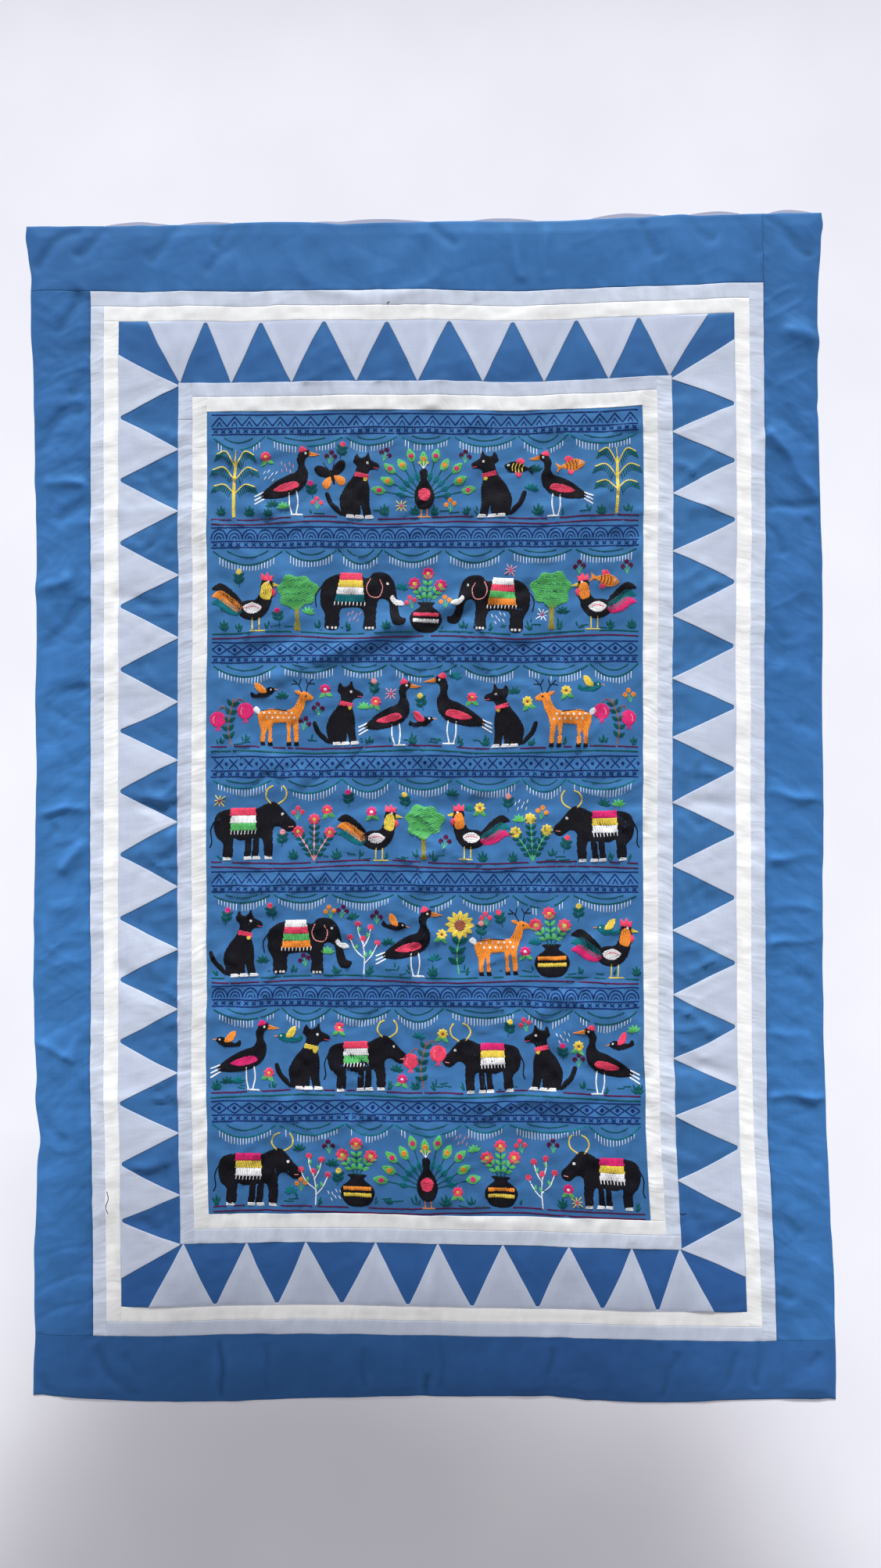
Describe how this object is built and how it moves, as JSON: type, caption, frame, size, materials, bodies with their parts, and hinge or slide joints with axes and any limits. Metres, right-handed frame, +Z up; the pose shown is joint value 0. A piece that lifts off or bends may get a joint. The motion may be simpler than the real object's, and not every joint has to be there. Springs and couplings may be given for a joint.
{
  "type": "story cloth",
  "caption": "Rectangular embroidered cloth laid flat: a blue middle framed by plain strips, a toothed band and a wide blue border, with a lining underneath.",
  "frame": {"origin": "under the middle of the cloth's box, on the surface that it lies on", "axes": "+X across the cloth towards its right edge, +Y along it towards its top edge, +Z up out of its face"},
  "size_m": [0.9797, 1.4492, 0.0064],
  "materials": {
    "border_blue": "plain weave poly-cotton, medium blue, matt with a faint sheen",
    "ground_blue": "plain weave poly-cotton, medium blue, matt",
    "pale_strip": "thin plain weave, pale lavender grey, matt",
    "white_strip": "thin plain weave, white, matt",
    "lining": "plain weave, greyish lavender, matt",
    "embroidery_thread": "stranded embroidery thread in many colours, soft sheen"
  },
  "bodies": {
    "root": {"lining": "lining", "ground": "ground_blue", "border_top": "border_blue", "border_right": "border_blue", "border_bottom": "border_blue", "border_left": "border_blue", "outer_pale_top": "pale_strip", "outer_pale_right": "pale_strip", "outer_pale_bottom": "pale_strip", "outer_pale_left": "pale_strip", "outer_white_top": "white_strip", "outer_white_right": "white_strip", "outer_white_bottom": "white_strip", "outer_white_left": "white_strip", "teeth_top": "pale_strip", "teeth_right": "pale_strip", "teeth_bottom": "pale_strip", "teeth_left": "pale_strip", "inner_pale_top": "pale_strip", "inner_pale_right": "pale_strip", "inner_pale_bottom": "pale_strip", "inner_pale_left": "pale_strip", "inner_white_top": "white_strip", "inner_white_right": "white_strip", "inner_white_bottom": "white_strip", "inner_white_left": "white_strip"}
  },
  "joints": []
}
